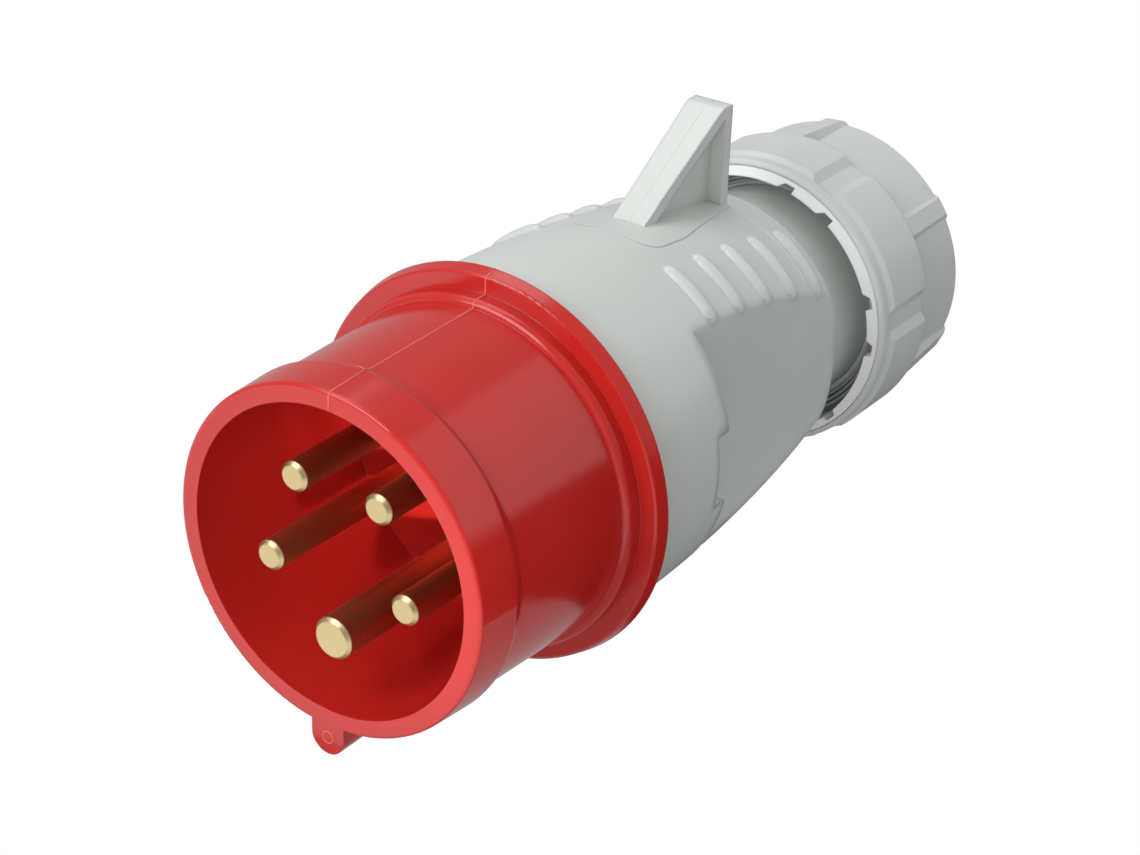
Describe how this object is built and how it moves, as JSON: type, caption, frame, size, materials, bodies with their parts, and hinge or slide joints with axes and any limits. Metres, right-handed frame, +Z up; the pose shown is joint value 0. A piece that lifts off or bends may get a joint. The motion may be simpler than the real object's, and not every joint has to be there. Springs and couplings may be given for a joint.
{
  "type": "industrial power plug",
  "caption": "Round industrial plug: red shroud with contact pins, grey ribbed rear housing with a lid catch, and a screw-on cable gland nut.",
  "frame": {"origin": "centre of the shroud's rim, on the plug's axis", "axes": "+Y along the plug's axis towards the cable, +Z up through the lid catch, key at -Z"},
  "size_m": [0.067, 0.1485, 0.0769],
  "materials": {
    "red_plastic": "glossy moulded",
    "grey_plastic": "satin moulded",
    "nut_plastic": "satin moulded",
    "ring_plastic": "moulded",
    "carrier_plastic": "moulded",
    "white_plastic": "moulded",
    "black_rubber": "soft moulded",
    "brass": "turned",
    "steel": "zinc plated"
  },
  "bodies": {
    "root": {"shroud": "red_plastic", "rear_housing": "grey_plastic", "contact_carrier": "carrier_plastic", "contact_retainer": "carrier_plastic", "terminal_screws": "steel", "retainer_screws": "steel", "wire_saddles": "steel", "housing_gasket": "black_rubber", "sealing_insert": "black_rubber", "seal_washer": "white_plastic", "pin_earth": "brass", "pin_l1": "brass", "pin_l2": "brass", "pin_l3": "brass", "pin_neutral": "brass"},
    "clamp_cage": {"clamp_cage": "white_plastic"},
    "gland_nut": {"gland_nut": "nut_plastic", "ratchet_ring": "ring_plastic"}
  },
  "joints": [
    {"name": "cage_slide", "type": "slide", "parent": "root", "child": "clamp_cage", "axis": [0, 1, 0], "range_m": [-0.008, 0.004]},
    {"name": "nut_turn", "type": "hinge", "parent": "clamp_cage", "child": "gland_nut", "pos_m": [0, 0.133, 0], "axis": [0, 1, 0], "range_deg": [-720, 360]}
  ],
  "couplings": [
    {"joint": "cage_slide", "follows": "nut_turn", "m_per_rad": 0.00063662}
  ]
}
